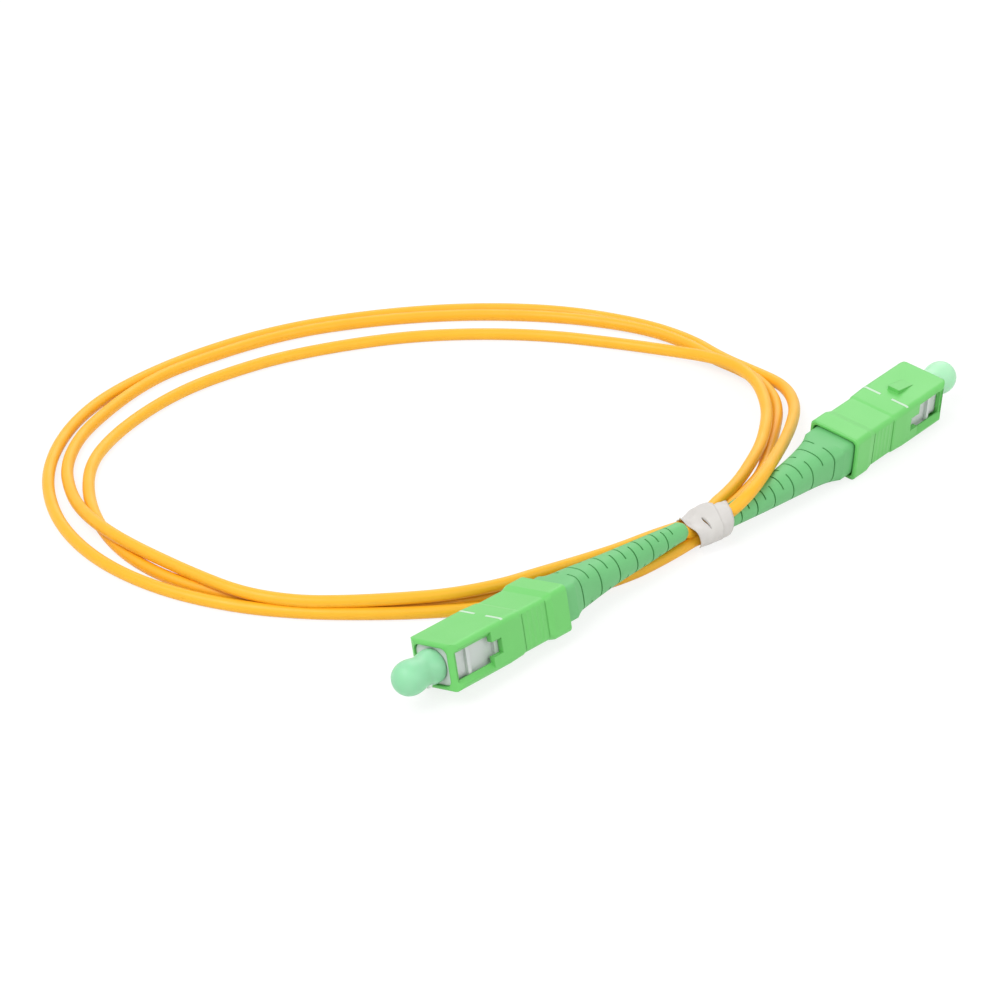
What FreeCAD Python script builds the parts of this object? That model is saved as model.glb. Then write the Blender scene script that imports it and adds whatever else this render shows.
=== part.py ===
import FreeCAD, Part
import math
import os

# Fibre optic patch cable: two push-pull plugs with angled ferrules on one slim cable,
# wound in three loose turns and held by a white wrap. Millimetres, +Z up.
# The origin is on the floor, midway between the two plugs, under the wrap.
# Each plug is built lying along X, front face at x = 0, key side up, and then laid in place.

Vector = FreeCAD.Vector

# Cable
cableDiameter = 2.0
bufferDiameter = 0.9
cableStart = -25.6          # where the jacket begins, behind the plug's front face

# Plug frame inside the housing, narrow in front of its latch ridges
frameBore = 5.2
frameTopWall = 0.4
frameSideWall = 1.15
frameWidth = frameBore + 2 * frameSideWall
frameHeight = frameBore + 2 * frameTopWall
frameNoseDrop = 0.55
frameNoseWidth = frameWidth - 2 * frameNoseDrop
frameNoseCorner = 1.1
frameFront = 0.45
frameRear = 17.6
frameCorner = 0.5
slideClearance = 0.08
shoulderFront = 7.0
shoulderThickness = 0.8
shoulderHole = 3.5
springBore = 5.1
latchPocketDepth = 0.6
latchPocketMargin = 0.35
latchPocketHeight = frameHeight - 2 * latchPocketMargin
latchRidgeFront = 3.6
latchRidgeWidth = 0.7
latchPocketRear = 9.6
snapFront = 15.1
snapLength = 1.4
snapWidth = 2.2
snapClearance = 0.06

# Boot block, the part of the boot inside the housing's rear
bootFront = 20.0
bootBlockWidth = 7.9
bootBlockHeight = 6.1
bootBlockCorner = 0.8
bootBlockLength = 2.6       # shown behind the housing
bootGap = 0.2

# Outer housing
sideWall = 0.92
topWall = 0.67
rimSide = 0.6
rimTop = 0.6
frontWidth = frameWidth + 2 * (slideClearance + sideWall)
frontHeight = frameHeight + 2 * (slideClearance + topWall)
rearOpeningWidth = bootBlockWidth + 2 * bootGap
rearOpeningHeight = bootBlockHeight + 2 * bootGap
rearWidth = rearOpeningWidth + 2 * rimSide
rearHeight = rearOpeningHeight + 2 * rimTop
housingLength = 25.8
cornerRadius = 0.9
waistStart = 11.9           # distances back from the front face
gripStep = 14.9
gripFront = 15.5
gripRear = 20.8
bandStart = 22.2
waistDrop = 0.26
waistSideDrop = 0.2
waistShare = 0.5            # share of the drop reached at the grip's step
edgeBevel = 0.22
frontRounding = 0.45
noseRadius = 2.0            # front corners rounded in plan
keyWidth = 2.2
keyHeight = 0.7
keyFront = 5.2
keyRear = 9.4
markPosition = 11.2
markThickness = 0.5
markDepth = 0.34
markInner = 1.1
markMargin = 0.4
fluteCount = 5
fluteDepth = 0.06
gripLineWidth = 0.26
gripLineDepth = 0.11
gripMargin = 0.5

# Side windows, a wide part and a narrow tail
windowFront = 1.15
windowStep = 8.3
windowRear = 10.4
windowHalf = 2.15
windowTailHalf = 1.2
windowBevel = 0.75
windowBevelFront = 0.7

# Ferrule and its metal flange
ferruleDiameter = 2.499
ferruleTip = 1.6
ferruleLength = 10.5
ferruleConeLength = 0.7
ferruleTipRadius = 0.7
endFaceAngle = 8.0
noseGap = 0.1
seatGap = 0.05
collarRadius = 2.3
collarLength = 1.75
noseLength = 1.45
flangeTubeRadius = 1.1
flangeTubeLength = 5.9
flangeBoreRadius = 0.5
keyNotch = 0.7
ferruleTravel = 1.2

# Ferrule spring
springOuter = 4.4
springWire = 0.5
springTurns = 5
springEndGap = 0.02

# Back body and crimp ring
backBodyFront = 14.4
backBodyGap = 0.05
backFit = 0.05
backCollarLength = 1.5
backCollarDrop = 0.25       # inside the boot block's height on each side
backCollarSideDrop = 0.55
backCollarWidth = frameWidth - 2 * backCollarSideDrop
backCollarHeight = bootBlockHeight - 2 * backCollarDrop
neckRadius = 1.75
neckEnd = 24.4
tubeClearance = 0.15
bufferClearance = 0.1
crimpFront = 19.5
crimpWall = 0.35
crimpClearance = 0.05
crimpStep = 24.8
crimpRear = 27.5
jacketClearance = 0.05

# Rest of the boot
bootTipDiameter = 3.15
bootTipRounding = 0.7
bootSquareness = 8.0        # of its block; 2 is round
bootShape = (               # distance behind the housing, width, height, squareness
    (6.3, 6.5, 6.2, 2.8),
    (12.6, 5.5, 5.45, 2.1),
    (18.6, 4.65, 4.65, 2.0),
    (25.0, 3.8, 3.8, 2.0),
)
bootBoreRadius = 1.08
bootCavityRadius = 2.3
bootCavityEnd = 27.9
slotThickness = 0.28
slotWall = 0.2              # left between the slots and the bore
slotFirst = 4.4
slotGap = 5.0
slotShrink = 0.92
slotPairs = 6
sideSlotAngle = 150.0
topSlotAngle = 116.0

# Dust cap: distance ahead of the front face and radius, waisted behind its domed head
capBase = 2.62
capShape = ((0.9, 2.68), (2.4, 2.42), (4.2, 2.68), (5.6, 2.62), (6.7, 2.1), (7.35, 1.25), (7.65, 0.0))
capSeatGap = 0.1
capSleeveRadius = 2.45
capSleeveLength = 3.8
capBoreGap = 0.02
capBoreEnd = 4.6
gateRadius = 0.42
gateHeight = 0.3
gatePosition = 2.2
gateSurface = 2.42
gatePinRadius = 0.16
gatePinDepth = 0.4

# Where each plug lies: front face centre, turns, and its boot's points after the bend
plugPlaces = {
    "a": {"front": Vector(-40.0, -44.9, frontHeight / 2 + 1.7), "yaw": 228.7, "pitch": 1.8, "roll": 192.6,
          "capTurn": 25.0},
    "b": {"front": Vector(39.7, 43.8, frontHeight / 2 + 1.18), "yaw": 51.0, "pitch": 1.5, "roll": 6.2,
          "capTurn": 180.0},
}
bootBends = {
    "a": (Vector(-17.3, -19.0, 4.5), Vector(-1.6, -2.9, 4.6)),
    "b": (Vector(15.0, 13.1, 3.8), Vector(3.3, 0.6, 3.4)),
}
leadRoutes = {
    "a": (Vector(0.9, 0.9, 5.0), Vector(3.8, 5.6, 4.9), Vector(6.4, 11.4, 3.6), Vector(8.2, 16.8, 2.6)),
    "b": (Vector(0.5, -3.0, 2.7), Vector(-3.0, -7.0, 1.5), Vector(-8.6, -11.4, 1.0),
          Vector(-14.6, -14.0, 1.0), Vector(-21.6, -15.8, 1.1), Vector(-29.0, -18.6, 1.2)),
}

# Coil of loose turns: its centre, and by angle its inner and outer reach and height
coilCentre = Vector(-42.0, 29.0, 0.0)
coilRoundness = 0.4
coilShape = (
    (1, 52.8, 58.6, 3.6), (10, 55.2, 61.6, 3.3), (20, 57.4, 64.2, 3.0), (30, 56.6, 62.6, 2.6),
    (40, 53.5, 59.9, 2.3), (50, 49.4, 58.6, 2.1), (60, 46.2, 57.9, 2.1), (80, 41.8, 54.0, 2.1),
    (100, 39.7, 51.3, 2.1), (120, 40.5, 51.2, 2.1), (140, 42.5, 53.0, 2.1), (160, 46.7, 57.5, 2.1),
    (170, 49.4, 59.8, 2.1), (181, 52.2, 61.5, 2.4), (190, 53.8, 62.6, 3.2), (200, 54.2, 63.0, 4.0),
    (210, 53.2, 62.6, 4.0), (220, 52.2, 61.7, 3.9), (230, 51.6, 60.2, 3.9), (240, 51.0, 58.2, 3.8),
    (250, 49.0, 56.0, 3.4), (260, 46.9, 53.9, 3.0), (270, 45.4, 52.6, 2.8), (280, 44.4, 51.0, 2.7),
    (290, 43.2, 48.4, 2.7), (300, 42.2, 46.8, 2.8), (307, 42.9, 46.9, 2.9), (314, 44.0, 48.0, 3.1),
    (339, 50.0, 53.3, 4.0), (345, 50.3, 54.4, 4.0), (352, 51.2, 56.0, 3.9),
)
coilAtTie = (48.4, 51.6, 3.7)
coilTieStations = (-4.0, 0.0, 4.0)

# White wrap round the bundle
tieCentre = Vector(2.5, 1.0, 0.0)
tieYaw = 47.0
tieWidth = 8.0
tieThickness = 0.25
tieOutline = ((-4.7, 0.3), (0.6, 0.3), (3.2, 1.4), (3.2, 4.9), (0.4, 6.5), (-2.6, 6.5), (-4.7, 4.7))
tieSeatGap = 0.06
tieReach = 52.6             # from the coil's centre
tieLap = 0.62               # share of the width that has a second layer
tieLapFloor = 1.2           # where the second layer's ends stop

# General helpers


def plugPlacement(place):
    turn = FreeCAD.Rotation(place["yaw"], -place["pitch"], place["roll"])
    return FreeCAD.Placement(place["front"], turn)


def roundedSection(width, height, radius, centre, along, side):
    """Rounded rectangle in the plane square to along, its width running along side."""
    along = Vector(along).normalize()
    side = Vector(side).normalize()
    up = along.cross(side)
    half = width / 2
    tall = height / 2
    bulge = radius * (1 - math.sqrt(0.5))

    def at(u, v):
        return centre + side * u + up * v

    edges = []
    for a, b in ((1, 1), (-1, 1), (-1, -1), (1, -1)):
        ends = [at(a * half, b * (tall - radius)), at(a * (half - radius), b * tall)]
        if a != b:
            ends.reverse()
        middle = at(a * (half - bulge), b * (tall - bulge))
        if edges:
            edges.append(Part.LineSegment(lastPoint, ends[0]).toShape())
        else:
            firstPoint = ends[0]
        edges.append(Part.Arc(ends[0], middle, ends[1]).toShape())
        lastPoint = ends[1]
    edges.append(Part.LineSegment(lastPoint, firstPoint).toShape())
    return Part.Wire(edges)


def softSection(width, height, squareness, centre, along, side, count=24):
    """One smooth closed curve, round at squareness 2 and nearly a rectangle at 6."""
    up = along.cross(side)
    points = []
    for index in range(count):
        angle = 2 * math.pi * (index + 0.5) / count
        cosine = math.cos(angle)
        sine = math.sin(angle)
        u = width / 2 * math.copysign(abs(cosine) ** (2 / squareness), cosine)
        v = height / 2 * math.copysign(abs(sine) ** (2 / squareness), sine)
        points.append(centre + side * u + up * v)
    curve = Part.BSplineCurve()
    curve.interpolate(Points=points, PeriodicFlag=True)
    return Part.Wire([curve.toShape()])


def block(front, rear, width, height, radius):
    """Bar along X with rounded long edges, from front back to rear."""
    wire = roundedSection(width, height, radius, Vector(-rear, 0, 0), Vector(1, 0, 0), Vector(0, 1, 0))
    return Part.Face(wire).extrude(Vector(rear - front, 0, 0))


def turned(profile):
    """Solid of revolution about X from points (distance back, radius)."""
    points = [Vector(-back, 0, radius) for back, radius in profile]
    wire = Part.makePolygon(points + [points[0]])
    return Part.Face(wire).revolve(Vector(0, 0, 0), Vector(1, 0, 0), 360)


def rod(front, rear, radius):
    return Part.makeCylinder(radius, rear - front, Vector(-rear, 0, 0), Vector(1, 0, 0))


def plainBox(front, rear, sideLow, sideHigh, low, high):
    corner = Vector(-rear, sideLow, low)
    return Part.makeBox(rear - front, sideHigh - sideLow, high - low, corner)


def routeCorners(points):
    """Tangent arcs of a route: for each inner point, where its arc starts, bends and ends, and its radius."""
    corners = []
    for before, here, after in zip(points, points[1:], points[2:]):
        back = (before - here)
        ahead = (after - here)
        turn = math.pi - back.getAngle(ahead)
        reach = 0.45 * min(back.Length, ahead.Length)
        radius = reach / math.tan(turn / 2)
        back.normalize()
        ahead.normalize()
        inward = (back + ahead).normalize()
        middle = here + inward * (radius / math.cos(turn / 2) - radius)
        corners.append((here + back * reach, middle, here + ahead * reach, radius, turn))
    return corners


def routeWire(points):
    """Straight runs joined by tangent arcs."""
    edges = []
    start = points[0]
    for arcStart, middle, arcEnd, radius, turn in routeCorners(points):
        edges.append(Part.LineSegment(start, arcStart).toShape())
        edges.append(Part.Arc(arcStart, middle, arcEnd).toShape())
        start = arcEnd
    edges.append(Part.LineSegment(start, points[-1]).toShape())
    return Part.Wire(edges)


def routeTube(points, radius):
    direction = (points[1] - points[0]).normalize()
    ring = Part.Wire(Part.makeCircle(radius, points[0], direction))
    return routeWire(points).makePipeShell([ring], True, False)


def pathFrame(points, distance):
    """Place and direction at a distance along a route with one bend."""
    arcStart, middle, arcEnd, radius, turn = routeCorners(points)[0]
    first = (points[1] - points[0]).normalize()
    last = (points[2] - points[1]).normalize()
    straight = (arcStart - points[0]).Length
    bend = radius * turn
    if distance <= straight:
        return points[0] + first * distance, first
    if distance >= straight + bend:
        return arcEnd + last * (distance - straight - bend), last
    angle = (distance - straight) / radius
    inward = (last - first * first.dot(last)).normalize()
    place = arcStart + first * (radius * math.sin(angle)) + inward * (radius * (1 - math.cos(angle)))
    return place, first * math.cos(angle) + inward * math.sin(angle)


# Plug pieces, along X


def housingStations():
    """Distances back with the housing's width and height there: rounded front, waist, grip, band and rim."""
    stations = []
    for angle in (90, 60, 30, 0):
        back = frontRounding * (1 - math.sin(math.radians(angle)))
        inset = frontRounding * (1 - math.cos(math.radians(angle)))
        stations.append((back, frontWidth - 2 * inset, frontHeight - 2 * inset))
    waistWidth = frontWidth - 2 * waistSideDrop
    waistHeight = frontHeight - 2 * waistDrop
    stations.append((waistStart, frontWidth, frontHeight))
    stations.append((gripStep, frontWidth - 2 * waistSideDrop * waistShare, frontHeight - 2 * waistDrop * waistShare))
    stations.append((gripFront, waistWidth, waistHeight))
    stations.append((gripRear, waistWidth, waistHeight))
    stations.append((bandStart, rearWidth, rearHeight))
    stations.append((housingLength - edgeBevel, rearWidth, rearHeight))
    stations.append((housingLength, rearWidth - 2 * edgeBevel, rearHeight - 2 * edgeBevel))
    return stations


def housingShell():
    """Straight walls between rounded sections."""
    along = Vector(-1, 0, 0)
    wires = []
    for back, width, height in housingStations():
        wires.append(roundedSection(width, height, cornerRadius, Vector(-back, 0, 0), along, Vector(0, 1, 0)))
    return Part.makeLoft(wires, True, True)


def noseCorners():
    """What comes off the two front corners to round them in plan."""
    cuts = []
    for side in (1, -1):
        centre = Vector(-noseRadius, side * (frontWidth / 2 - noseRadius), -frontHeight)
        y = min(side * (frontWidth / 2 - noseRadius), side * (frontWidth / 2 + 1))
        corner = Part.makeBox(noseRadius + 1, noseRadius + 1, 2 * frontHeight,
                              Vector(-noseRadius, y, -frontHeight))
        cuts.append(corner.cut(Part.makeCylinder(noseRadius, 2 * frontHeight, centre, Vector(0, 0, 1))))
    return cuts


def windowCuts():
    """T-shaped windows through both sides, the wide part's long edges bevelled outwards."""
    cuts = []
    outer = rearWidth / 2 + 1
    inner = frameWidth / 2 - 0.5
    wall = frontWidth / 2
    for side in (1, -1):
        low, high = sorted((side * inner, side * outer))
        cuts.append(plainBox(windowFront, windowStep, low, high, -windowHalf, windowHalf))
        cuts.append(plainBox(windowStep - 0.5, windowRear, low, high, -windowTailHalf, windowTailHalf))
        for up in (1, -1):
            profile = [
                Vector(-windowStep, side * (wall - windowBevel), up * windowHalf),
                Vector(-windowStep, side * (wall + 0.2), up * (windowHalf + windowBevel + 0.2)),
                Vector(-windowStep, side * (wall + 0.2), 0),
                Vector(-windowStep, side * (wall - windowBevel), 0),
            ]
            face = Part.Face(Part.makePolygon(profile + [profile[0]]))
            cuts.append(face.extrude(Vector(windowStep - windowBevelFront, 0, 0)))
    return cuts


def gripCuts():
    """Shallow upright flutes in the grip on both sides, with a fine line before and behind them."""
    cuts = []
    half = frontWidth / 2 - waistSideDrop
    tall = frontHeight / 2 - waistDrop - gripMargin
    pitch = (gripRear - gripFront) / fluteCount
    radius = (pitch * pitch / 4 + fluteDepth * fluteDepth) / (2 * fluteDepth)
    for side in (1, -1):
        for index in range(fluteCount):
            back = gripFront + (index + 0.5) * pitch
            centre = Vector(-back, side * (half - fluteDepth + radius), -tall)
            cuts.append(Part.makeCylinder(radius, 2 * tall, centre))
        for back in (gripFront, gripRear):
            low, high = sorted((side * (half - gripLineDepth), side * (half + 1)))
            cuts.append(plainBox(back - gripLineWidth / 2, back + gripLineWidth / 2, low, high, -tall, tall))
    return cuts


def markBars():
    """Two white bars across the top face and two across the bottom one, out to the rounded edges."""
    bars = []
    shell = housingShell()
    top = frontHeight / 2
    for up in (1, -1):
        low, high = sorted((up * (top - markDepth), up * (top + 0.1)))
        for side in (1, -1):
            near, far = sorted((side * markInner, side * (frontWidth / 2 - markMargin)))
            bar = plainBox(markPosition, markPosition + markThickness, near, far, low, high)
            bars.append(bar.common(shell).Solids[0])
    return bars


def keyRib():
    """Key on the top face, square behind and running out to nothing in front."""
    low = frontHeight / 2 - 0.5
    top = frontHeight / 2
    profile = [
        Vector(-keyFront, -keyWidth / 2, low), Vector(-keyFront, -keyWidth / 2, top),
        Vector(-keyRear, -keyWidth / 2, top + keyHeight), Vector(-keyRear, -keyWidth / 2, low),
    ]
    return Part.Face(Part.makePolygon(profile + [profile[0]])).extrude(Vector(0, keyWidth, 0))


def housing():
    body = housingShell()
    body = body.fuse(keyRib())
    width = frameWidth + 2 * slideClearance
    noseWidth = frameNoseWidth + 2 * slideClearance
    height = frameHeight + 2 * slideClearance
    cavity = block(windowFront, frameRear + 1, width, height, frameCorner)
    opening = block(-1, windowFront + 0.5, noseWidth, height, frameNoseCorner)
    rearOpening = block(frameRear - 0.4, housingLength + 1, rearOpeningWidth, rearOpeningHeight, bootBlockCorner)
    cuts = [cavity, opening, rearOpening] + noseCorners() + windowCuts() + gripCuts() + markBars()
    return body.cut(cuts).removeSplitter()


def plugFrame():
    body = block(latchRidgeFront, frameRear, frameWidth, frameHeight, frameCorner)
    body = body.fuse(block(frameFront, latchRidgeFront + 0.2, frameNoseWidth, frameHeight, frameNoseCorner))
    shoulderRear = shoulderFront + shoulderThickness
    cuts = [
        rod(-1, shoulderFront, frameBore / 2),
        rod(shoulderFront - 0.5, shoulderRear + 0.5, shoulderHole / 2),
        rod(shoulderRear, frameRear + 1, springBore / 2),
    ]
    tall = latchPocketHeight / 2
    ridgeRear = latchRidgeFront + latchRidgeWidth
    for side in (1, -1):
        low, high = sorted((side * (frameWidth / 2 - latchPocketDepth), side * frameWidth))
        cuts.append(plainBox(ridgeRear, latchPocketRear, low, high, -tall, tall))
        low, high = sorted((side * (springBore / 2 - 0.4), side * frameHeight))
        cuts.append(plainBox(snapFront, snapFront + snapLength, -snapWidth / 2, snapWidth / 2, low, high))
    return body.cut(cuts)


def ferrule():
    radius = ferruleDiameter / 2
    shoulder = -(ferruleTip - ferruleConeLength)
    rear = ferruleLength - ferruleTip
    body = turned(((-ferruleTip, 0), (-ferruleTip, ferruleTipRadius), (shoulder, radius), (rear, radius), (rear, 0)))
    cutter = Part.makeBox(4, 8, 8, Vector(0, -4, -4))
    cutter.rotate(Vector(0, 0, 0), Vector(0, 1, 0), endFaceAngle)
    cutter.translate(Vector(ferruleTip - ferruleTipRadius * math.tan(math.radians(endFaceAngle)), 0, 0))
    return body.cut(cutter)


def ferruleFlange():
    ferruleRear = ferruleLength - ferruleTip
    noseRadiusHere = shoulderHole / 2 - noseGap
    collarFront = shoulderFront + shoulderThickness + seatGap
    noseFront = collarFront - noseLength
    collarRear = collarFront + collarLength
    tubeRear = collarRear + flangeTubeLength
    body = turned((
        (noseFront, ferruleDiameter / 2), (noseFront, noseRadiusHere), (collarFront, noseRadiusHere),
        (collarFront, collarRadius), (collarRear, collarRadius), (collarRear, flangeTubeRadius),
        (tubeRear, flangeTubeRadius), (tubeRear, flangeBoreRadius), (ferruleRear, flangeBoreRadius),
        (ferruleRear, ferruleDiameter / 2),
    ))
    notches = []
    for side in (1, -1):
        low, high = sorted((side * (collarRadius - keyNotch), side * (collarRadius + 1)))
        notches.append(plainBox(collarFront, collarRear, -keyNotch / 2, keyNotch / 2, low, high))
    return body.cut(notches)


def springRear():
    return backBodyFront - springEndGap


def ferruleSpring():
    """Open coil, its ends ground flat against the collar and the back body."""
    collarRear = shoulderFront + shoulderThickness + seatGap + collarLength
    front = collarRear + springEndGap
    wire = springWire / 2
    length = springRear() - front
    radius = springOuter / 2 - wire
    climb = length - springWire
    helix = Part.makeHelix(climb / springTurns, climb, radius)
    ring = Part.Wire(Part.makeCircle(wire, Vector(radius, 0, 0), Vector(0, 1, 0)))
    coil = Part.Wire(helix).makePipeShell([ring], True, True)
    coil.rotate(Vector(0, 0, 0), Vector(0, 1, 0), 90)
    coil.translate(Vector(-springRear() + wire, 0, 0))
    return coil


def backBody():
    skirt = springBore / 2 - backFit
    collarFront = frameRear + backBodyGap
    collarRear = collarFront + backCollarLength
    boreEnd = collarFront
    tubeBore = flangeTubeRadius + tubeClearance
    bufferBore = bufferDiameter / 2 + bufferClearance
    body = turned(((backBodyFront, 0), (backBodyFront, skirt), (collarFront + 0.2, skirt),
                   (collarFront + 0.2, neckRadius), (neckEnd, neckRadius), (neckEnd, 0)))
    collar = block(collarFront, collarRear, backCollarWidth, backCollarHeight, bootBlockCorner)
    nubs = []
    for side in (1, -1):
        low, high = sorted((side * (skirt - 0.3), side * (frameHeight / 2 - 0.1)))
        nubs.append(plainBox(snapFront + snapClearance, snapFront + snapLength - snapClearance,
                             -snapWidth / 2 + snapClearance, snapWidth / 2 - snapClearance, low, high))
    body = body.fuse([collar] + nubs)
    return body.cut([rod(backBodyFront - 1, boreEnd, tubeBore), rod(boreEnd - 0.5, neckEnd + 1, bufferBore)])


def crimpRing():
    inner = neckRadius + crimpClearance
    outer = inner + crimpWall
    smallInner = cableDiameter / 2 + jacketClearance
    smallOuter = smallInner + crimpWall
    step = crimpStep + crimpWall
    return turned((
        (crimpFront, inner), (crimpFront, outer), (crimpStep, outer), (step, smallOuter),
        (crimpRear, smallOuter), (crimpRear, smallInner), (crimpStep, smallInner), (crimpStep, inner),
    ))


def bufferTube():
    front = frameRear - 0.7
    return rod(front, -cableStart, bufferDiameter / 2)


def dustCap(turn):
    """Soft cap turned to a waisted outline with a domed head, a moulding gate, and a sleeve over the ferrule."""
    back = frameFront - capSeatGap
    outline = [Vector(-back, 0, capBase)] + [Vector(ahead, 0, radius) for ahead, radius in capShape]
    curve = Part.BSplineCurve()
    curve.interpolate(outline)
    edges = [
        curve.toShape(),
        Part.LineSegment(outline[-1], Vector(-back, 0, 0)).toShape(),
        Part.LineSegment(Vector(-back, 0, 0), outline[0]).toShape(),
    ]
    body = Part.Face(Part.Wire(edges)).revolve(Vector(0, 0, 0), Vector(1, 0, 0), 360)
    gate = Part.makeCylinder(gateRadius, gateHeight + 0.3, Vector(gatePosition, 0, gateSurface - 0.3), Vector(0, 0, 1))
    pin = Part.makeCylinder(gatePinRadius, gatePinDepth,
                            Vector(gatePosition, 0, gateSurface + gateHeight - gatePinDepth), Vector(0, 0, 1))
    gate.rotate(Vector(0, 0, 0), Vector(1, 0, 0), turn)
    pin.rotate(Vector(0, 0, 0), Vector(1, 0, 0), turn)
    body = body.fuse([rod(back - 0.2, back + capSleeveLength, capSleeveRadius), gate])
    return body.cut([rod(-capBoreEnd, back + capSleeveLength + 1, ferruleDiameter / 2 + capBoreGap), pin])


# Boot, built where it lies along its own bent axis


def bootPath(key):
    """The cable's own line through the boot, from where its jacket begins."""
    start = plugPlacement(plugPlaces[key]).multVec(Vector(cableStart, 0, 0))
    bend, tip = bootBends[key]
    return [start, bend, tip]


def bootSlots(path, side):
    """Thin C-shaped cuts along the boot, the long ones at its sides and the short ones above and below."""
    cuts = []
    hub = Part.makeCylinder(bootBoreRadius + slotWall, 3 * slotThickness, Vector(0, 0, -slotThickness))
    distance = housingLength + cableStart + slotFirst
    gap = slotGap
    for index in range(slotPairs):
        for angle, offset, shift in ((sideSlotAngle, 0.0, 0.0), (topSlotAngle, 90.0, gap / 2)):
            place, direction = pathFrame(path, distance + shift)
            across = (side - direction * side.dot(direction)).normalize()
            up = direction.cross(across)
            frame = FreeCAD.Matrix(
                across.x, up.x, direction.x, place.x, across.y, up.y, direction.y, place.y,
                across.z, up.z, direction.z, place.z, 0, 0, 0, 1)
            for half in (0.0, 180.0):
                sector = Part.makeCylinder(bootBlockWidth, slotThickness, Vector(0, 0, 0), Vector(0, 0, 1), angle)
                sector.rotate(Vector(0, 0, 0), Vector(0, 0, 1), offset + half - angle / 2)
                sector = sector.cut(hub)
                sector.transformShape(frame)
                cuts.append(sector)
        distance += gap
        gap *= slotShrink
    return cuts


def bootOutside(path, side, total):
    """Block, taper and rounded tip, as lofts through sections square to the boot's axis."""
    lead = housingLength + cableStart
    tipSize = bootTipDiameter - bootTipRounding
    stations = [(bootFront + cableStart, bootBlockWidth, bootBlockHeight, bootSquareness)]
    stations.append((lead + bootBlockLength, bootBlockWidth, bootBlockHeight, bootSquareness))
    for behind, width, height, squareness in bootShape:
        stations.append((lead + behind, width, height, squareness))
    stations.append((total - bootTipRounding, bootTipDiameter, bootTipDiameter, 2.0))
    stations.append((total, tipSize, tipSize, 2.0))
    wires = []
    for distance, width, height, squareness in stations:
        place, direction = pathFrame(path, distance)
        across = (side - direction * side.dot(direction)).normalize()
        wires.append(softSection(width, height, squareness, place, direction, across))
    front = Part.makeLoft(wires[:2], True, True)
    taper = Part.makeLoft(wires[1:-1], True, False)
    tip = Part.makeLoft(wires[-2:], True, True)
    return front.fuse([taper, tip])


def boot(key):
    placement = plugPlacement(plugPlaces[key])
    side = placement.Rotation.multVec(Vector(0, 1, 0))
    path = bootPath(key)
    arcStart, middle, arcEnd, radius, turn = routeCorners(path)[0]
    total = (arcStart - path[0]).Length + radius * turn + (path[2] - arcEnd).Length
    slotted = bootOutside(path, side, total).cut(bootSlots(path, side))
    cavity = rod(bootFront - 1, bootCavityEnd, bootCavityRadius)
    cavity.Placement = placement
    beyond = path[2] + (path[2] - path[1]).normalize() * 2
    bore = routeTube([path[0], path[1], beyond], bootBoreRadius)
    return slotted.cut([cavity, bore])


# Cable, coil and wrap


def leadPoints(key):
    """Route of one lead: out of the crimp ring, through the boot and on to the coil."""
    start = plugPlacement(plugPlaces[key]).multVec(Vector(cableStart, 0, 0))
    bend, tip = bootBends[key]
    return [start, bend, tip] + list(leadRoutes[key])


def cableLead(key):
    points = leadPoints(key)
    tube = routeTube(points, cableDiameter / 2)
    radii = [round(corner[3], 1) for corner in routeCorners(points)]
    length = routeWire(points).Length
    ideal = length * math.pi * (cableDiameter / 2) ** 2
    print("cable_lead_" + key, "radii", radii, "length", round(length, 1), "volume share", round(tube.Volume / ideal, 4))
    return tube


def cableCoil():
    """One closed bundle with the outer shape of the loose turns, straight where the wrap holds it."""
    sections = []
    for angle, inner, outer, height in coilShape:
        heading = math.radians(angle)
        outward = Vector(math.cos(heading), math.sin(heading), 0)
        middle = coilCentre + outward * ((inner + outer) / 2) + Vector(0, 0, height / 2)
        sections.append((angle, middle, outward, outer - inner, height))
    inner, outer, height = coilAtTie
    along, across = tieDirections()
    for shift in coilTieStations:
        offset = (inner + outer) / 2 - tieReach
        middle = tieCentre + along * shift + across * offset
        away = middle - coilCentre
        angle = math.degrees(math.atan2(away.y, away.x)) % 360
        middle += Vector(0, 0, tieOutline[0][1] + tieSeatGap + height / 2)
        sections.append((angle, middle, across, outer - inner, height))
    wires = []
    for angle, middle, outward, width, height in sorted(sections, key=lambda section: section[0]):
        around = Vector(-outward.y, outward.x, 0)
        corner = coilRoundness * min(width, height)
        wires.append(roundedSection(width, height, corner, middle, around, outward))
    return Part.makeLoft(wires, True, True, True)


def tieDirections():
    """Along the bundle, and across it away from the coil's centre."""
    heading = math.radians(tieYaw)
    return Vector(math.cos(heading), math.sin(heading), 0), Vector(math.sin(heading), -math.cos(heading), 0)


def tieOutlineWire(grow, shift):
    """Rounded outline of the wrap in the plane across the bundle."""
    along, across = tieDirections()
    origin = tieCentre + along * shift
    points = [origin + across * u + Vector(0, 0, v) for u, v in tieOutline]
    looped = [points[-1]] + points + [points[0]]
    corners = routeCorners(looped)
    edges = []
    for index, corner in enumerate(corners):
        arcStart, middle, arcEnd, radius, turn = corner
        edges.append(Part.Arc(arcStart, middle, arcEnd).toShape())
        nextStart = corners[(index + 1) % len(corners)][0]
        edges.append(Part.LineSegment(arcEnd, nextStart).toShape())
    wire = Part.Wire(edges)
    if grow:
        wire = wire.makeOffset2D(grow)
    return wire


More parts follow.
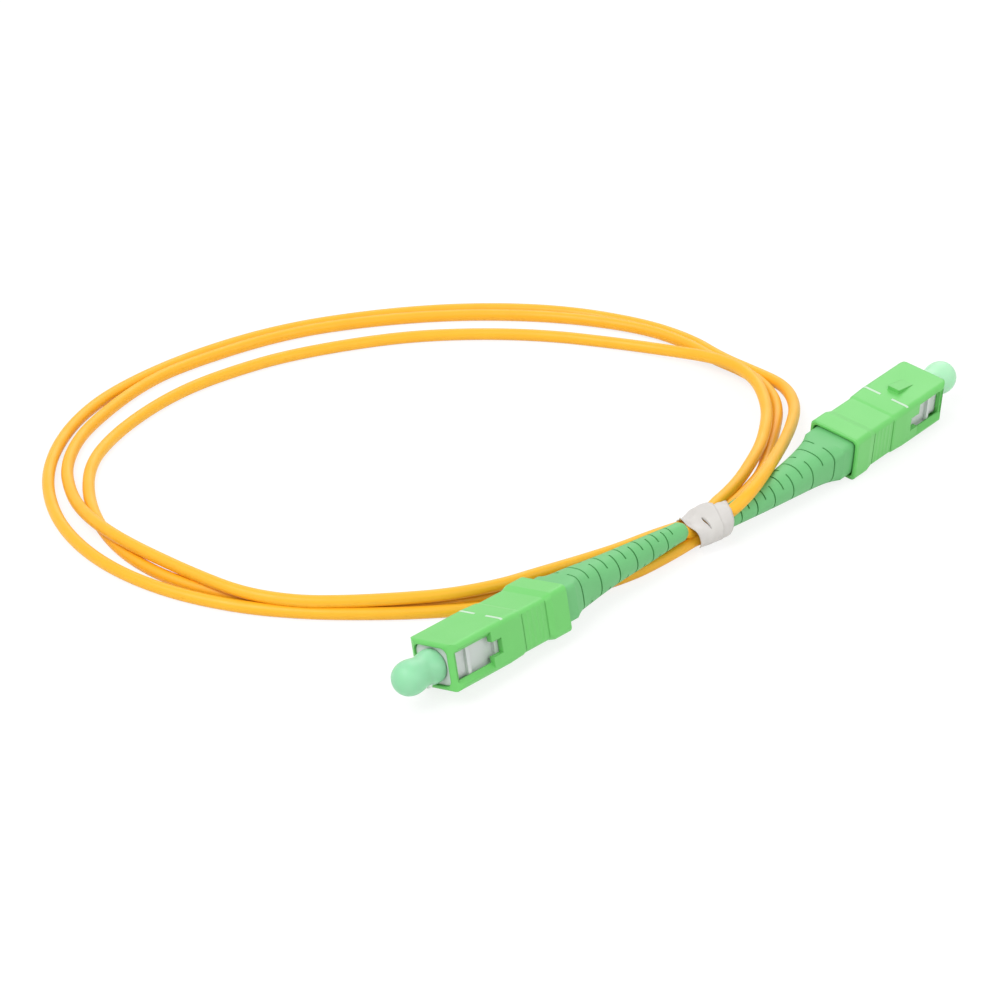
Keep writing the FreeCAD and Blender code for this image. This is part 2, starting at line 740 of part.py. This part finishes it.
def wrapTie():
    """A strip wound once round the bundle, with a second layer lapped over its top and front."""
    along, across = tieDirections()
    inner = Part.Face(tieOutlineWire(0, -tieWidth / 2))
    outer = Part.Face(tieOutlineWire(tieThickness, -tieWidth / 2))
    lap = Part.Face(tieOutlineWire(2 * tieThickness, -tieWidth / 2))
    band = outer.cut(inner).extrude(along * tieWidth)
    second = lap.cut(outer).extrude(along * (tieWidth * tieLap))
    second.translate(along * (tieWidth * (1 - tieLap)))
    underneath = Part.makeBox(40, 40, 5, Vector(tieCentre.x - 20, tieCentre.y - 20, -5 + tieLapFloor))
    return band.fuse(second.cut(underneath))


# Write every node

os.makedirs("parts", exist_ok=True)

plugPieces = {
    "housing": housing(),
    "mark_bars": Part.makeCompound(markBars()),
    "plug_frame": plugFrame(),
    "ferrule": ferrule(),
    "ferrule_flange": ferruleFlange(),
    "ferrule_spring": ferruleSpring(),
    "back_body": backBody(),
    "crimp_ring": crimpRing(),
    "buffer_tube": bufferTube(),
}

nodes = {}
for key, place in plugPlaces.items():
    placement = plugPlacement(place)
    for name, piece in plugPieces.items():
        laid = piece.copy()
        laid.Placement = placement.multiply(laid.Placement)
        nodes[name + "_" + key] = laid
    cap = dustCap(place["capTurn"])
    cap.Placement = placement.multiply(cap.Placement)
    nodes["dust_cap_" + key] = cap
    nodes["boot_" + key] = boot(key)
    nodes["cable_lead_" + key] = cableLead(key)
nodes["cable_coil"] = cableCoil()
nodes["wrap_tie"] = wrapTie()

for name, shape in nodes.items():
    shape.exportStep("parts/" + name + ".step")
    box = shape.BoundBox
    print(name, "solids", len(shape.Solids), "valid", shape.isValid(), "volume", round(shape.Volume, 2),
          "low", round(box.XMin, 1), round(box.YMin, 1), round(box.ZMin, 2),
          "high", round(box.XMax, 1), round(box.YMax, 1), round(box.ZMax, 2))
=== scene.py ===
import math
import bpy
import numpy as np
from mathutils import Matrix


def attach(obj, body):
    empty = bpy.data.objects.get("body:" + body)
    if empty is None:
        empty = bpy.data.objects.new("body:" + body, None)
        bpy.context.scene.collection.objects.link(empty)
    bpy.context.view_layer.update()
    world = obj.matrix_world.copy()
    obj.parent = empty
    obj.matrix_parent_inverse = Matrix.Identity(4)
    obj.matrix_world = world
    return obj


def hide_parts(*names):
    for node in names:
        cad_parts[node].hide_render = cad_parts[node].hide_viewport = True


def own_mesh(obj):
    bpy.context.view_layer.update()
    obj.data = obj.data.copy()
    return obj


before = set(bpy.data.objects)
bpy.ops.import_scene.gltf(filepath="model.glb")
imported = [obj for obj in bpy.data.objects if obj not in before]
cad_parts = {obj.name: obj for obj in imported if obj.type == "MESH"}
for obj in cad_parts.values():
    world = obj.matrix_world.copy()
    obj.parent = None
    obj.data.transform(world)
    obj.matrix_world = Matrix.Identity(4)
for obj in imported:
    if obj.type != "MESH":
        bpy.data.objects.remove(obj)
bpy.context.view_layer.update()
scene = bpy.context.scene
scene.view_settings.view_transform = "Standard"
mm = 0.001
print("frame loaded")

# camera
cameraView = {
    "place": (-30.0, -596.6, 340.4),  # mm
    "target": (-30.0, 15.0, 0.0),
    "lens": 157.9,
    "sensor": 36.0,
    "clip": (0.01, 20.0),  # m
}


def aim(thing, place, target):
    # the thing looks from its place to the target, both in m, with its top up
    away = target - place
    thing.location = place
    thing.rotation_euler = (math.atan2(math.hypot(away[0], away[1]), -away[2]), 0, math.atan2(-away[0], away[1]))


def addCamera(view):
    data = bpy.data.cameras.new("camera")
    data.lens = view["lens"]
    data.sensor_width = view["sensor"]
    data.clip_start, data.clip_end = view["clip"]
    camera = bpy.data.objects.new("camera", data)
    scene.collection.objects.link(camera)
    aim(camera, np.array(view["place"]) * mm, np.array(view["target"]) * mm)
    scene.camera = camera


addCamera(cameraView)

# cable: from the near plug through its boot, three turns of the coil, back through the far boot
cable = {
    "diameter": 2.0,  # mm
    "steps": 10,  # of the smooth line for each of its points
    "roundSteps": 6,
    "centre": (-42.0, 29.0),
    "nearLead": ((-23.11, -25.68, 4.65), (-17.3, -19.0, 4.5), (-1.6, -2.9, 4.6)),
    "nearHeld": ((-0.6, 2.95, -3.3), (-1.0, 2.5, -1.0), (-1.4, 3.2, 1.4)),  # across, up and along the wrap
    # angle round the coil in degrees, reach from its centre, height
    "firstTurn": ((-27.5, 50.9, 4.1), (-21.5, 51.5, 4.0), (-15, 52.1, 3.8), (-8.7, 52.8, 3.6), (-2.4, 54.0, 3.4),
                  (4.1, 55.25, 3.3), (9.9, 56.6, 3.1), (15.1, 57.6, 3.0), (19.3, 58.3, 3.0), (23.4, 58.6, 3.0),
                  (28, 58.0, 3.0), (33, 56.3, 2.7), (40.3, 54.1, 1.5), (50, 50.4, 1), (65, 46.0, 1), (82, 42.6, 1),
                  (100, 40.8, 1), (124.6, 41.4, 1), (140.9, 43.6, 1), (152, 46.0, 1), (163, 48.4, 1),
                  (174.1, 51.4, 1), (184, 54.1, 1), (195, 55.4, 1), (206, 56.4, 1), (216, 56.9, 1), (226.5, 56.3, 1),
                  (238, 54.4, 1), (248, 52.3, 1), (260, 50.0, 1), (272, 48.6, 1), (284, 47.2, 1), (300, 45.6, 1),
                  (314, 46.8, 1)),
    "firstHeld": ((-2.5, 1.6, -4.0), (-2.4, 1.6, 4.0)),
    "secondTurn": ((-24.5, 52.4, 2.9), (-21.5, 53.05, 3.0), (-16.8, 53.6, 2.8), (-10.3, 54.6, 2.3), (-3, 55.1, 1.7),
                   (2, 55.9, 1.2), (8, 57.5, 1), (14, 59.6, 1), (19.5, 60.8, 1), (24.4, 60.4, 1.4), (29.1, 59.1, 1.6),
                   (34, 57.9, 1.4), (41, 58.2, 1.3), (50.5, 57.0, 1.3), (65, 53.6, 1), (82, 50.0, 1), (100, 48.1, 1),
                   (120, 48.6, 1), (143.4, 51.1, 1), (155, 53.2, 1), (167.6, 55.2, 1), (176, 57.0, 1), (185, 58.1, 1),
                   (193, 58.0, 1.1), (200, 57.9, 1.8), (207, 57.6, 2.7), (214, 56.8, 3.0), (221, 55.6, 2.9),
                   (230, 54.9, 2.8), (240, 55.1, 2.7), (249, 54.0, 2.7), (257, 51.8, 2.7), (266, 50.1, 2.9),
                   (275, 48.9, 2.9), (284.7, 47.5, 3.0)),
    "behindBoot": ((-25.2, -14.2, 3.0), (-18.0, -10.2, 3.1), (-11.8, -6.7, 3.3), (-6.6, -3.2, 3.6)),
    "secondHeld": ((-2.9, 3.4, -4.3), (-2.3, 3.3, -2.5), (-0.9, 4.05, -0.6), (0.5, 4.5, 1.1), (1.45, 4.4, 2.7)),
    "overBoot": ((8.9, 4.2, 6.8), (12.0, 11.1, 7.35), (14.25, 20.05, 5.5)),
    "thirdTurn": ((-0.5, 58.2, 4.0), (6, 59.9, 3.0), (12, 61.9, 2.3), (18.1, 63.3, 1.5), (22.5, 63.4, 1.1),
                  (27.2, 61.7, 1), (34, 59.6, 1), (42, 59.9, 1), (51.8, 58.7, 1), (66, 55.8, 1), (82, 52.4, 1),
                  (100, 50.1, 1), (120, 50.4, 1), (140, 52.3, 1), (157, 56.0, 1), (169, 58.6, 1), (181, 60.4, 1),
                  (192, 61.5, 1), (204, 61.9, 1), (216, 61.2, 1), (228, 59.3, 1), (240, 56.6, 1), (251, 53.9, 1),
                  (262, 51.7, 1), (271, 50.8, 1)),
    "farLead": ((-31.0, -20.6, 1.0), (-21.0, -16.6, 1.0), (-14.0, -13.4, 1.0), (-8.9, -9.8, 1.0), (-5.0, -6.2, 1.15),
                (-1.4, -2.8, 1.5), (0.5, -1.1, 1.9)),
    "farHeld": ((1.0, 2.0, 0.0), (0.9, 2.5, 2.2), (0.85, 3.3, 5.0)),
    "farEnd": ((7.6, 5.3, 3.55), (15.0, 13.1, 3.8), (23.60, 23.91, 4.26)),
}

# wrap round the bundle: a strip wound one and a half times, in mm, its section seen along the bundle
wrap = {
    "centre": (2.5, 1.0),
    "yaw": 47.0,  # degrees
    "middle": (-0.7, 3.4),  # across and up
    "outline": ((-4.4, 0.75), (0.3, 0.75), (3.2, 2.0), (3.4, 5.0), (0.9, 6.15), (-2.2, 5.55), (-4.3, 3.85)),
    "rounding": 0.34,  # of each side, cut at both its corners
    "cornerSteps": 25,
    "smoothing": (14.0, 15),  # degrees each way, and samples
    "growth": 0.22,  # outward for each turn
    "thickness": 0.16,
    "roundSteps": 300,
    "halfSteps": 12,  # from one edge to the slit
    # angle round the middle in degrees, and the strip's left and right edges along the bundle
    "edges": ((85, -3.0, 4.8), (70, -3.0, 4.4), (50, -3.0, 3.5), (30, -3.0, 2.7), (0, -3.0, 2.2), (-40, -2.2, 1.6),
              (-90, -1.3, 1.5), (-140, -2.4, 1.5), (-180, -3.0, 1.6), (-215, -3.9, 1.9), (-240, -4.5, 2.1),
              (-270, -4.7, 1.9), (-300, -4.6, 0.9), (-330, -4.4, 0.1), (-360, -4.2, 0.0), (-385, -4.0, 0.3),
              (-404, -3.6, 0.6), (-420, -2.2, 0.9), (-450, -1.4, 1.2)),
    # place along, its swing, the ends' angles, the least distance from both edges, and how blunt the ends are
    "slit": {"along": -1.5, "swing": 0.35, "from": 74.0, "to": 14.0, "halfWidth": 0.13, "margin": 0.4, "blunt": 0.6},
    "taper": {"from": 1.0, "run": 4.8, "depth": 1.45, "turn": 0.5},  # the front draws in, most at this turn in radians
    "pinch": {"along": -2.5, "run": 1.8, "depth": 1.15, "wider": 0.35},  # saddle on top, wider than half a turn
    "flare": {"from": -3.4, "run": 1.4, "rise": 0.9, "wider": 0.2},  # the left tip lifts at the back
    "sink": {"from": 3.0, "slope": 0.28},  # the right tip sinks
    "folds": ((0.05, 1.9, 3, 0), (0.03, 3.7, -2, 1)),  # height, radians for each mm along and round, and start
}


def wrapPoint(across, up, along):
    # from places in the wrap's own section to the model's, in mm: turned by the yaw about the wrap's centre
    yaw = math.radians(wrap["yaw"])
    x = wrap["centre"][0] + math.cos(yaw) * along + math.sin(yaw) * across
    y = wrap["centre"][1] + math.sin(yaw) * along - math.cos(yaw) * across
    return x, y, up


def turnPoints(turn):
    # points round the coil's centre, each pushed out by a quarter of what its step bends, so the smooth line meets it
    angle, reach, height = np.array(turn, float).T
    step = np.radians(np.gradient(np.unwrap(angle, period=360)))
    reach = reach * (1 + (1 - np.cos(step)) / 4)
    heading = np.radians(angle)
    x = cable["centre"][0] + reach * np.cos(heading)
    y = cable["centre"][1] + reach * np.sin(heading)
    return list(zip(x, y, height))


def cableRoute():
    # the parts in order: plain places, places in the wrap's section, and places round the coil
    inWrap = ("nearHeld", "firstHeld", "secondHeld", "farHeld")
    roundCoil = ("firstTurn", "secondTurn", "thirdTurn")
    route = []
    for part in ("nearLead", "nearHeld", "firstTurn", "firstHeld", "secondTurn", "behindBoot", "secondHeld", "overBoot",
                 "thirdTurn", "farLead", "farHeld", "farEnd"):
        if part in inWrap:
            route += [wrapPoint(*place) for place in cable[part]]
        else:
            route += turnPoints(cable[part]) if part in roundCoil else list(cable[part])
    return route


def smoothLine(name, route):
    data = bpy.data.curves.new(name, "CURVE")
    data.dimensions = "3D"
    spline = data.splines.new("NURBS")
    spline.points.add(len(route) - 1)
    for point, place in zip(spline.points, route):
        point.co = (place[0] * mm, place[1] * mm, place[2] * mm, 1.0)
    spline.order_u = 3
    spline.use_endpoint_u = True
    data.resolution_u = cable["steps"]
    data.bevel_depth = cable["diameter"] / 2 * mm
    data.bevel_resolution = cable["roundSteps"]
    data.use_fill_caps = True
    line = bpy.data.objects.new(name, data)
    scene.collection.objects.link(line)
    return line


def lineLength(line):
    # length of the line itself, read from a copy with no thickness
    bare = line.data.copy()
    bare.bevel_depth = 0
    probe = bpy.data.objects.new("probe", bare)
    scene.collection.objects.link(probe)
    bpy.context.view_layer.update()
    mesh = bpy.data.meshes.new_from_object(probe.evaluated_get(bpy.context.evaluated_depsgraph_get()))
    places = np.empty(len(mesh.vertices) * 3)
    mesh.vertices.foreach_get("co", places)
    steps = np.diff(places.reshape(-1, 3), axis=0)
    bpy.data.objects.remove(probe)
    bpy.data.meshes.remove(mesh)
    return float(np.linalg.norm(steps, axis=1).sum())


cableLine = smoothLine("cable", cableRoute())
cableLength = lineLength(cableLine)
print("cable length", round(cableLength, 4))

# general mesh maker


def meshPiece(name, points, quads, material):
    mesh = bpy.data.meshes.new(name)
    mesh.from_pydata(points.tolist(), [], quads.tolist())
    mesh.polygons.foreach_set("use_smooth", np.ones(len(quads), bool))
    mesh.update()
    mesh.materials.append(material)
    piece = bpy.data.objects.new(name, mesh)
    scene.collection.objects.link(piece)
    return piece


# materials: what all finishes share, unless one says otherwise
moulded = {
    "grainScale": 4000.0,
    "waveScale": 150.0,
    "waveShare": 0.4,  # of the waves in the height, the rest is grain
    "shade": 0.92,  # of the colour, where the blotch is darkest
    "heights": (0.3, 0.7),  # over which the roughness changes
    "roughSpread": 0.05,  # each way
    "bumpDepth": 0.00005,  # m
    "edgeSamples": 6,
    "scatterScale": 0.001,
}
mouldingInputs = {"Wave Scale": "waveScale", "Wave Share": "waveShare"}


def moulding():
    # grain of a moulded surface: a fine noise and broad slow waves for height, and a soft blotch for colour
    group = bpy.data.node_groups.new("moulding", "ShaderNodeTree")
    for label in mouldingInputs:
        group.interface.new_socket(label, in_out="INPUT", socket_type="NodeSocketFloat")
    for label in ("Height", "Blotch"):
        group.interface.new_socket(label, in_out="OUTPUT", socket_type="NodeSocketFloat")
    nodes, link = group.nodes, group.links.new
    given = nodes.new("NodeGroupInput")
    out = nodes.new("NodeGroupOutput")
    place = nodes.new("ShaderNodeTexCoord")
    grain = nodes.new("ShaderNodeTexNoise")
    grain.inputs["Scale"].default_value = moulded["grainScale"]
    grain.inputs["Detail"].default_value = 3.0
    link(place.outputs["Object"], grain.inputs["Vector"])
    wave = nodes.new("ShaderNodeTexNoise")
    wave.inputs["Detail"].default_value = 1.0
    link(place.outputs["Object"], wave.inputs["Vector"])
    link(given.outputs["Wave Scale"], wave.inputs["Scale"])
    mix = nodes.new("ShaderNodeMix")
    link(given.outputs["Wave Share"], mix.inputs[0])
    link(grain.outputs[0], mix.inputs[2])
    link(wave.outputs[0], mix.inputs[3])
    link(mix.outputs[0], out.inputs["Height"])
    link(wave.outputs[0], out.inputs["Blotch"])
    return group


mouldingGroup = moulding()


def plastic(name, finish):
    # moulded plastic or rubber: one colour with a slow blotch, grain in its bump and roughness, softened edges
    material = bpy.data.materials.new(name)
    material.use_nodes = True
    nodes, link = material.node_tree.nodes, material.node_tree.links.new
    shader = nodes["Principled BSDF"]
    grain = nodes.new("ShaderNodeGroup")
    grain.node_tree = mouldingGroup
    for label, key in mouldingInputs.items():
        grain.inputs[label].default_value = finish.get(key, moulded[key])
    tint = nodes.new("ShaderNodeMix")
    tint.data_type = "RGBA"
    tint.inputs[6].default_value = (*finish["colour"], 1)
    tint.inputs[7].default_value = (*finish.get("shade", [tone * moulded["shade"] for tone in finish["colour"]]), 1)
    link(grain.outputs["Blotch"], tint.inputs[0])
    link(tint.outputs[2], shader.inputs["Base Color"])
    rough = nodes.new("ShaderNodeMapRange")
    rough.inputs["From Min"].default_value, rough.inputs["From Max"].default_value = moulded["heights"]
    rough.inputs["To Min"].default_value = finish["rough"] - moulded["roughSpread"]
    rough.inputs["To Max"].default_value = finish["rough"] + moulded["roughSpread"]
    link(grain.outputs["Height"], rough.inputs["Value"])
    link(rough.outputs["Result"], shader.inputs["Roughness"])
    bump = nodes.new("ShaderNodeBump")
    bump.inputs["Strength"].default_value = finish["bump"]
    bump.inputs["Distance"].default_value = moulded["bumpDepth"]
    if "edge" in finish:
        softEdge = nodes.new("ShaderNodeBevel")
        softEdge.samples = moulded["edgeSamples"]
        softEdge.inputs["Radius"].default_value = finish["edge"]
        link(softEdge.outputs["Normal"], bump.inputs["Normal"])
    link(grain.outputs["Height"], bump.inputs["Height"])
    link(bump.outputs["Normal"], shader.inputs["Normal"])
    shader.inputs["Metallic"].default_value = finish.get("metal", 0.0)
    if "scatter" in finish:
        shader.inputs["Subsurface Weight"].default_value = finish["scatter"]
        shader.inputs["Subsurface Radius"].default_value = finish["scatterReach"]
        shader.inputs["Subsurface Scale"].default_value = moulded["scatterScale"]
    # painted highlight and painted shade at the cap's gate, over the blotch
    if "gate" in finish:
        paintGateHighlightAndShade(nodes, link, tint.outputs[2], shader.inputs["Base Color"], finish["gate"])
    return material


def paintGateHighlightAndShade(nodes, link, colour, target, gate):
    # painted highlight as a pale spot round the gate, and painted shade as a dark spot in its pinhole, by the distance
    # from the gate's middle
    place = nodes.new("ShaderNodeTexCoord")
    reach = nodes.new("ShaderNodeVectorMath")
    reach.operation = "DISTANCE"
    reach.inputs[1].default_value = [v * mm for v in gate["place"]]
    link(place.outputs["Object"], reach.inputs[0])
    # the first spot paints a highlight round the gate, the second paints shade in its pinhole
    for tone, near, far in gate["highlightAndShadeSpots"]:
        paintedSpot = nodes.new("ShaderNodeMapRange")
        paintedSpot.inputs["From Min"].default_value = near * mm
        paintedSpot.inputs["From Max"].default_value = far * mm
        paintedSpot.inputs["To Min"].default_value = 1.0
        paintedSpot.inputs["To Max"].default_value = 0.0
        link(reach.outputs["Value"], paintedSpot.inputs["Value"])
        mix = nodes.new("ShaderNodeMix")
        mix.data_type = "RGBA"
        mix.inputs[7].default_value = (*tone, 1)
        link(paintedSpot.outputs["Result"], mix.inputs[0])
        link(colour, mix.inputs[6])
        colour = mix.outputs[2]
    link(colour, target)


finishes = {
    "shellGreen": {"colour": (0.170, 0.64, 0.150), "shade": (0.155, 0.60, 0.136), "rough": 0.40, "bump": 0.08,
                   "edge": 0.00022},
    "bootGreen": {"colour": (0.165, 0.545, 0.200), "shade": (0.150, 0.505, 0.180), "rough": 0.52, "bump": 0.15},
    "frameWhite": {"colour": (0.70, 0.73, 0.72), "rough": 0.38, "bump": 0.06, "edge": 0.0001},
    "bodyWhite": {"colour": (0.74, 0.76, 0.75), "rough": 0.38, "bump": 0.06},
    "markWhite": {"colour": (0.62, 0.82, 0.62), "rough": 0.6, "bump": 0.1},
    "capPale": {"colour": (0.46, 0.86, 0.54), "shade": (0.44, 0.84, 0.52), "rough": 0.4, "bump": 0.06,
                "scatter": 0.5, "scatterReach": (1.2, 2.2, 1.6)},
    "capMint": {"colour": (0.31, 0.70, 0.41), "shade": (0.29, 0.68, 0.395), "rough": 0.4, "bump": 0.06,
                "scatter": 0.5, "scatterReach": (1.2, 2.2, 1.6),
                # each spot's colour, a painted highlight round the gate and then a painted shade in its pinhole, and
                # where it starts and ends to fade, in mm
                "gate": {"place": (-40.25, -47.70, 3.37),
                         "highlightAndShadeSpots": (((0.86, 0.90, 0.84), 0.527, 0.713), ((0.08, 0.20, 0.10), 0.153, 0.204))}},
    "ferruleWhite": {"colour": (0.86, 0.85, 0.82), "rough": 0.15, "bump": 0.02},
    "flangeMetal": {"colour": (0.66, 0.64, 0.60), "rough": 0.3, "bump": 0.05, "metal": 1.0},
    "springMetal": {"colour": (0.60, 0.60, 0.60), "rough": 0.25, "bump": 0.03, "metal": 1.0},
    "crimpMetal": {"colour": (0.72, 0.66, 0.50), "rough": 0.3, "bump": 0.05, "metal": 1.0},
    "bufferWhite": {"colour": (0.82, 0.82, 0.80), "rough": 0.45, "bump": 0.05},
    "jacketYellow": {"colour": (0.97, 0.50, 0.016), "shade": (0.95, 0.465, 0.013), "rough": 0.45, "bump": 0.06,
                     "waveShare": 0.7, "waveScale": 300.0},
    "wrapWhite": {"colour": (0.67, 0.645, 0.62), "shade": (0.645, 0.62, 0.59), "rough": 0.5, "bump": 0.1},
}
materials = {name: plastic(name, finish) for name, finish in finishes.items()}

# finish of each node, by its own name or without its side; the cable's nodes take the jacket's
nodeFinishes = {
    "housing": "shellGreen", "mark_bars": "markWhite", "plug_frame": "frameWhite", "ferrule": "ferruleWhite",
    "ferrule_flange": "flangeMetal", "ferrule_spring": "springMetal", "back_body": "bodyWhite",
    "crimp_ring": "crimpMetal", "buffer_tube": "bufferWhite", "boot": "bootGreen", "dust_cap_a": "capMint",
    "dust_cap_b": "capPale",
}
for nodeName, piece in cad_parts.items():
    finish = nodeFinishes.get(nodeName) or nodeFinishes.get(nodeName[:-2], "jacketYellow")
    piece.data.materials.clear()
    piece.data.materials.append(materials[finish])


def squashSpring(side):
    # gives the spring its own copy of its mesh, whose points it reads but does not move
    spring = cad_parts["ferrule_spring_" + side]
    places = np.empty(len(spring.data.vertices) * 3)
    spring.data.vertices.foreach_get("co", places)
    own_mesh(spring)


squashSpring("a")
squashSpring("b")
cableLine.data.materials.append(materials["jacketYellow"])
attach(cableLine, "cable")
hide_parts("cable_coil", "cable_lead_a", "cable_lead_b")
print("materials done")

# wrap


def roundedLoop(outline, rounding):
    # closed outline of straight runs with quadratic arcs that cut its corners
    corners = np.array(outline, float)
    before = np.roll(corners, 1, axis=0)
    after = np.roll(corners, -1, axis=0)
    start = corners + (before - corners) * rounding
    end = corners + (after - corners) * rounding
    t = np.linspace(0, 1, wrap["cornerSteps"])[None, :, None]
    arcs = (1 - t) ** 2 * start[:, None] + 2 * t * (1 - t) * corners[:, None] + t ** 2 * end[:, None]
    return arcs.reshape(-1, 2)


def outlineReach(angle):
    # distance from the wrap's middle to its rounded outline, by angle, smoothed over a few degrees
    loop = roundedLoop(wrap["outline"], wrap["rounding"]) - np.array(wrap["middle"])
    loopAngle = np.degrees(np.arctan2(loop[:, 1], loop[:, 0]))
    spread, samples = wrap["smoothing"]
    return np.mean([np.interp(angle + turn, loopAngle, np.linalg.norm(loop, axis=1), period=360)
                    for turn in np.linspace(-spread, spread, samples)], axis=0)


def stripAlong(angle, left, right):
    # places along the bundle by angle, from edge to edge in two halves that part at the slit, and its half width
    slit = wrap["slit"]
    inSlit = (slit["from"] - np.mod(angle, 360)) / (slit["from"] - slit["to"])
    middle = slit["along"] + slit["swing"] * np.sin(np.radians(angle - (slit["from"] + slit["to"]) / 2))
    middle = np.clip(middle, left + slit["margin"], right - slit["margin"])
    gape = slit["halfWidth"] * np.sin(np.pi * np.clip(inSlit, 0, 1)) ** slit["blunt"]
    gape = np.where((inSlit > 0) & (inSlit < 1), gape, 0)
    share = np.linspace(0, 1, wrap["halfSteps"])
    lower = left[:, None] + (middle - gape - left)[:, None] * share
    upper = (middle + gape)[:, None] + (right - middle - gape)[:, None] * share
    return np.hstack([lower, upper]), gape


def stripReach(angle, along):
    # the outline's reach, grown for each turn, less a taper at the front, a pinch over the top and a sunk right tip,
    # plus a flare at the back of the left tip and slow folds
    taper, pinch, flare, sink = wrap["taper"], wrap["pinch"], wrap["flare"], wrap["sink"]
    turn = np.radians(angle)[:, None]
    top = np.clip(np.sin(turn), 0, None)
    topAndSides = np.clip(np.sin(turn) + pinch["wider"], 0, 1)
    front = np.clip(np.cos(turn - taper["turn"]), 0, None)
    back = np.clip(flare["wider"] - np.cos(turn), 0, 1)
    reach = outlineReach(angle)[:, None] + wrap["growth"] * (angle[0] - angle)[:, None] / 360
    reach = reach - taper["depth"] * np.clip((taper["from"] - along) / taper["run"], 0, 1) * front
    reach = reach - pinch["depth"] * np.exp(-((along - pinch["along"]) / pinch["run"]) ** 2) * topAndSides
    reach = reach - sink["slope"] * np.clip(along - sink["from"], 0, None) * top
    reach = reach + flare["rise"] * np.clip((flare["from"] - along) / flare["run"], 0, 1) ** 2 * top * back
    for height, forAlong, forTurn, start in wrap["folds"]:
        reach = reach + height * np.sin(forAlong * along + forTurn * turn + start)
    return reach


def wrapStrip():
    # point = middle + reach * (cos, sin) of the angle; its place along runs from the strip's left edge to its right
    edgeAngle, left, right = np.array(wrap["edges"], float).T[:, ::-1]
    angle = np.linspace(edgeAngle[-1], edgeAngle[0], wrap["roundSteps"])
    along, gape = stripAlong(angle, np.interp(angle, edgeAngle, left), np.interp(angle, edgeAngle, right))
    turn = np.radians(angle)[:, None]
    reach = stripReach(angle, along)
    across = wrap["middle"][0] + reach * np.cos(turn)
    up = wrap["middle"][1] + reach * np.sin(turn)
    points = np.stack(wrapPoint(across, up, along), -1).reshape(-1, 3) * mm
    index = np.arange(along.size).reshape(along.shape)
    half = wrap["halfSteps"]
    index[:, half] = np.where(gape > 0, index[:, half], index[:, half - 1])  # the halves share points off the slit
    quads = np.concatenate([np.stack([i[:-1, :-1], i[:-1, 1:], i[1:, 1:], i[1:, :-1]], -1).reshape(-1, 4)
                            for i in (index[:, :half], index[:, half:])])
    used, quads = np.unique(quads, return_inverse=True)
    return meshPiece("wrap", points[used], quads.reshape(-1, 4), materials["wrapWhite"])


wrapPiece = wrapStrip()
thick = wrapPiece.modifiers.new("thickness", "SOLIDIFY")
thick.thickness = wrap["thickness"] * mm
thick.offset = 0
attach(wrapPiece, "cable")
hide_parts("wrap_tie")
print("wrap done")

# floor, light
stage = {
    "floorSize": 3.0,  # m, from the middle
    "floorTone": 0.9,
    "seenTone": 0.22,  # what the camera sees of the floor's own shading
    "seenGlow": 0.82,  # added to it, so that bare floor is white
    "worldLight": 0.55,
    "lampTarget": (-20, 10, 0),  # mm
    # name, place and width in m, and watts
    "lamps": (("keyLamp", (-0.6, -0.5, 1.1), 0.9, 9.0), ("fillLamp", (0.9, -0.7, 0.8), 1.0, 4.0),
              ("backLamp", (0.2, 1.1, 0.9), 1.0, 4.0)),
}


def seenDirectly(nodes, link):
    # 1 for rays from the camera and in reflections, 0 for light on the object
    path = nodes.new("ShaderNodeLightPath")
    most = path.outputs["Is Camera Ray"]
    for label in ("Is Glossy Ray", "Is Transmission Ray"):
        pick = nodes.new("ShaderNodeMath")
        pick.operation = "MAXIMUM"
        link(most, pick.inputs[0])
        link(path.outputs[label], pick.inputs[1])
        most = pick.outputs[0]
    return most


def addFloor():
    far = stage["floorSize"]
    corners = np.array([[-far, -far, 0], [far, -far, 0], [far, far, 0], [-far, far, 0]])
    material = bpy.data.materials.new("floor")
    material.use_nodes = True
    nodes, link = material.node_tree.nodes, material.node_tree.links.new
    shaders = [nodes["Principled BSDF"], nodes.new("ShaderNodeBsdfPrincipled")]
    for shader, tone, glow in zip(shaders, (stage["floorTone"], stage["seenTone"]), (0.0, stage["seenGlow"])):
        shader.inputs["Base Color"].default_value = (tone, tone, tone, 1)
        shader.inputs["Roughness"].default_value = 0.9
        shader.inputs["Specular IOR Level"].default_value = 0.0
        shader.inputs["Emission Color"].default_value = (1, 1, 1, 1)
        shader.inputs["Emission Strength"].default_value = glow
    mix = nodes.new("ShaderNodeMixShader")
    link(seenDirectly(nodes, link), mix.inputs[0])
    link(shaders[0].outputs[0], mix.inputs[1])
    link(shaders[1].outputs[0], mix.inputs[2])
    link(mix.outputs[0], nodes["Material Output"].inputs["Surface"])
    meshPiece("floor", corners, np.array([[0, 1, 2, 3]]), material)


def addWorld():
    world = bpy.data.worlds.new("world")
    scene.world = world
    world.use_nodes = True
    nodes, link = world.node_tree.nodes, world.node_tree.links.new
    skies = [nodes["Background"], nodes.new("ShaderNodeBackground")]
    for sky, strength in zip(skies, (stage["worldLight"], 1.0)):
        sky.inputs["Color"].default_value = (1, 1, 1, 1)
        sky.inputs["Strength"].default_value = strength
    mix = nodes.new("ShaderNodeMixShader")
    link(seenDirectly(nodes, link), mix.inputs[0])
    link(skies[0].outputs[0], mix.inputs[1])
    link(skies[1].outputs[0], mix.inputs[2])
    link(mix.outputs[0], nodes["World Output"].inputs["Surface"])


def addLamp(name, place, size, watts):
    data = bpy.data.lights.new(name, "AREA")
    data.shape = "DISK"
    data.size = size
    data.energy = watts
    lamp = bpy.data.objects.new(name, data)
    scene.collection.objects.link(lamp)
    aim(lamp, np.array(place), np.array(stage["lampTarget"]) * mm)


addFloor()
addWorld()
for lamp in stage["lamps"]:
    addLamp(*lamp)
print("stage done")
